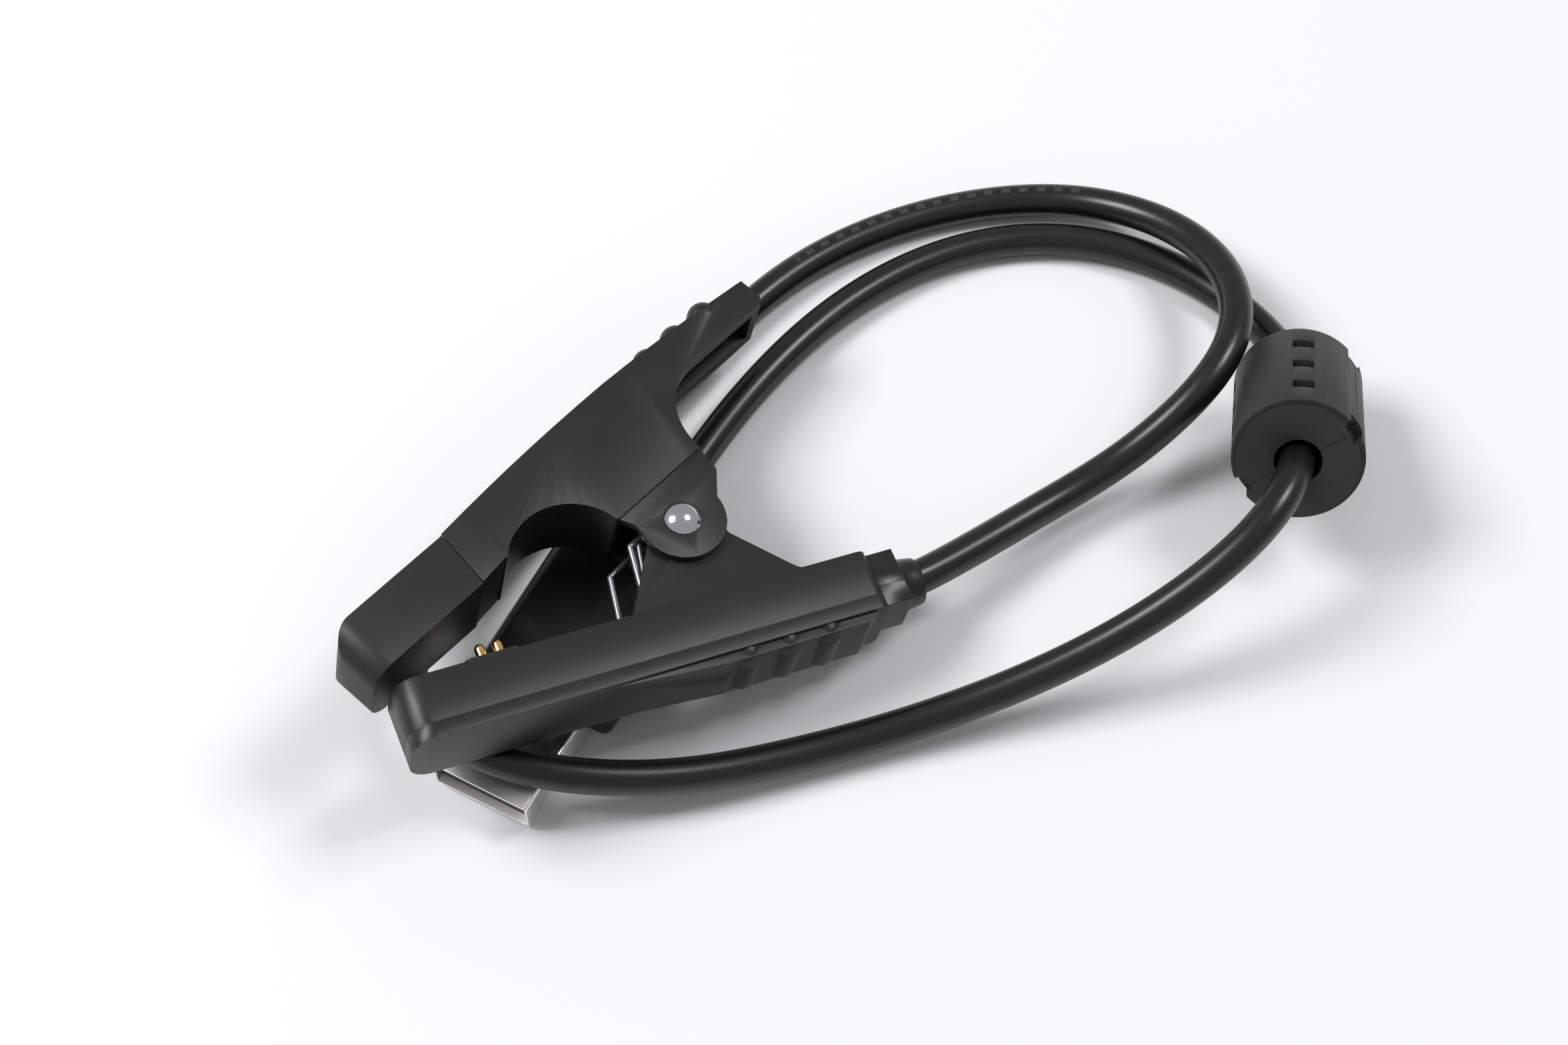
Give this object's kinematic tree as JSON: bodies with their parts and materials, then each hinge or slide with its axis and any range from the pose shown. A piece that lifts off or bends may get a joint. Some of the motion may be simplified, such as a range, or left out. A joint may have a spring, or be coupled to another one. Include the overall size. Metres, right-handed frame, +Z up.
{
  "type": "usb charging clip lead",
  "caption": "Spring clamp with sprung contact pins in one jaw, on a round cord with a clip-on ferrite bead and a USB plug, for charging a small wearable device.",
  "frame": {"origin": "on the surface the lead lies on, under the plug's overmould", "axes": "+Z up from that surface; +X from the jaws towards the cord's outer loop; +Y from the contact arm to the pressure arm"},
  "size_m": [0.1214, 0.0703, 0.0237],
  "materials": {
    "arm_plastic": "fine matte moulding",
    "block_plastic": "matte moulding",
    "head_rubber": "smooth soft rubber",
    "cord_jacket": "satin soft vinyl",
    "bead_plastic": "fine matte moulding",
    "ferrite": "sintered ceramic",
    "nickel": "bright nickel plate",
    "gold": "bright gold plate",
    "pin_steel": "polished steel",
    "spring_steel": "drawn wire",
    "board": "solder mask",
    "lead_red": "insulation",
    "lead_black": "insulation",
    "tongue_plastic": "insulating moulding"
  },
  "bodies": {
    "contact_arm": {"contact_arm_case": "arm_plastic", "contact_arm_cover": "arm_plastic", "contact_block": "block_plastic", "contact_barrels": "gold", "contact_springs": "spring_steel", "circuit_board": "board", "inner_lead_red": "lead_red", "inner_lead_black": "lead_black", "strain_relief": "cord_jacket", "pivot_pin": "pin_steel", "pin_cap": "pin_steel", "torsion_spring": "spring_steel", "cord": "cord_jacket", "bead_case_cover": "bead_plastic", "bead_case_base": "bead_plastic", "bead_core_upper": "ferrite", "bead_core_lower": "ferrite", "plug_overmould": "cord_jacket", "plug_shell": "nickel", "plug_tongue": "tongue_plastic", "plug_contacts": "gold"},
    "pressure_arm": {"pressure_arm": "arm_plastic", "jaw_head": "head_rubber"},
    "contact_1": {"contact_pin_1": "gold"},
    "contact_2": {"contact_pin_2": "gold"},
    "contact_3": {"contact_pin_3": "gold"},
    "contact_4": {"contact_pin_4": "gold"}
  },
  "joints": [
    {"name": "arm_pivot", "type": "hinge", "parent": "contact_arm", "child": "pressure_arm", "pos_m": [0.01, 0, 0.0123], "axis": [-0.156, 0.0785, -0.9846], "range_deg": [0, 28], "stiffness_Nm_per_rad": 0.2, "springref_deg": -34.38},
    {"name": "contact_travel_1", "type": "slide", "parent": "contact_arm", "child": "contact_1", "axis": [-0.1496, -0.9872, -0.055], "range_m": [0, 0.0012], "stiffness_N_per_m": 400, "springref_m": -0.0008},
    {"name": "contact_travel_2", "type": "slide", "parent": "contact_arm", "child": "contact_2", "axis": [-0.1496, -0.9872, -0.055], "range_m": [0, 0.0012], "stiffness_N_per_m": 400, "springref_m": -0.0008},
    {"name": "contact_travel_3", "type": "slide", "parent": "contact_arm", "child": "contact_3", "axis": [-0.1496, -0.9872, -0.055], "range_m": [0, 0.0012], "stiffness_N_per_m": 400, "springref_m": -0.0008},
    {"name": "contact_travel_4", "type": "slide", "parent": "contact_arm", "child": "contact_4", "axis": [-0.1496, -0.9872, -0.055], "range_m": [0, 0.0012], "stiffness_N_per_m": 400, "springref_m": -0.0008}
  ]
}
